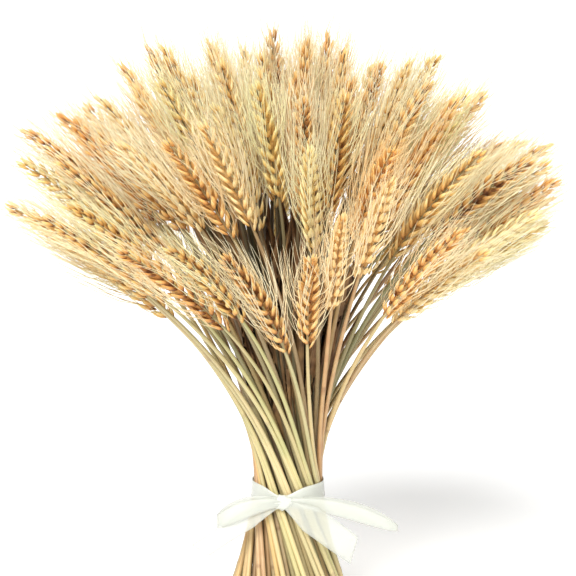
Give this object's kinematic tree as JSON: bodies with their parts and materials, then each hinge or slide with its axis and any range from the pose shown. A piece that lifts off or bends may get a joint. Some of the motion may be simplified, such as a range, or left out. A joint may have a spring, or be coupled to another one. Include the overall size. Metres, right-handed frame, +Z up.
{
  "type": "tied sheaf of dried wheat ears",
  "caption": "Sheaf of dried bearded wheat ears on splayed straws, tied at the waist with a satin ribbon bow and standing on its level cut ends.",
  "frame": {"origin": "on the floor, under the middle of the outer box of the standing sheaf", "axes": "+Z up along the sheaf from the cut ends to the ears, -Y out of the front with the bow, +X to the right in the picture"},
  "size_m": [0.3813, 0.2802, 0.4017],
  "materials": {
    "dried_wheat": "dry golden straw, faintly green on the stems",
    "ribbon_satin": "thin ivory satin, slightly see-through"
  },
  "bodies": {
    "root": {"ribbon": "ribbon_satin", "wheat_pair_01": "dried_wheat", "wheat_pair_02": "dried_wheat", "wheat_pair_03": "dried_wheat", "wheat_pair_04": "dried_wheat", "wheat_pair_05": "dried_wheat", "wheat_pair_06": "dried_wheat", "wheat_pair_07": "dried_wheat", "wheat_pair_08": "dried_wheat", "wheat_pair_09": "dried_wheat", "wheat_pair_10": "dried_wheat", "wheat_pair_11": "dried_wheat", "wheat_pair_12": "dried_wheat", "wheat_pair_13": "dried_wheat", "wheat_pair_14": "dried_wheat", "wheat_pair_15": "dried_wheat", "wheat_pair_16": "dried_wheat", "wheat_pair_17": "dried_wheat", "wheat_pair_18": "dried_wheat", "wheat_pair_19": "dried_wheat", "wheat_pair_20": "dried_wheat", "wheat_pair_21": "dried_wheat", "wheat_pair_22": "dried_wheat", "wheat_pair_23": "dried_wheat", "wheat_pair_24": "dried_wheat", "wheat_pair_25": "dried_wheat", "wheat_pair_26": "dried_wheat", "wheat_pair_27": "dried_wheat", "wheat_pair_28": "dried_wheat", "wheat_pair_29": "dried_wheat", "wheat_pair_30": "dried_wheat", "wheat_pair_31": "dried_wheat", "wheat_pair_32": "dried_wheat", "wheat_pair_33": "dried_wheat", "wheat_pair_34": "dried_wheat", "wheat_pair_35": "dried_wheat", "wheat_pair_36": "dried_wheat", "wheat_pair_37": "dried_wheat", "wheat_pair_38": "dried_wheat", "wheat_pair_39": "dried_wheat", "wheat_pair_40": "dried_wheat", "wheat_pair_41": "dried_wheat", "wheat_pair_42": "dried_wheat", "wheat_pair_43": "dried_wheat", "wheat_pair_44": "dried_wheat", "wheat_pair_45": "dried_wheat", "wheat_pair_46": "dried_wheat", "wheat_pair_47": "dried_wheat", "wheat_pair_48": "dried_wheat", "wheat_pair_49": "dried_wheat", "wheat_pair_50": "dried_wheat"}
  },
  "joints": []
}
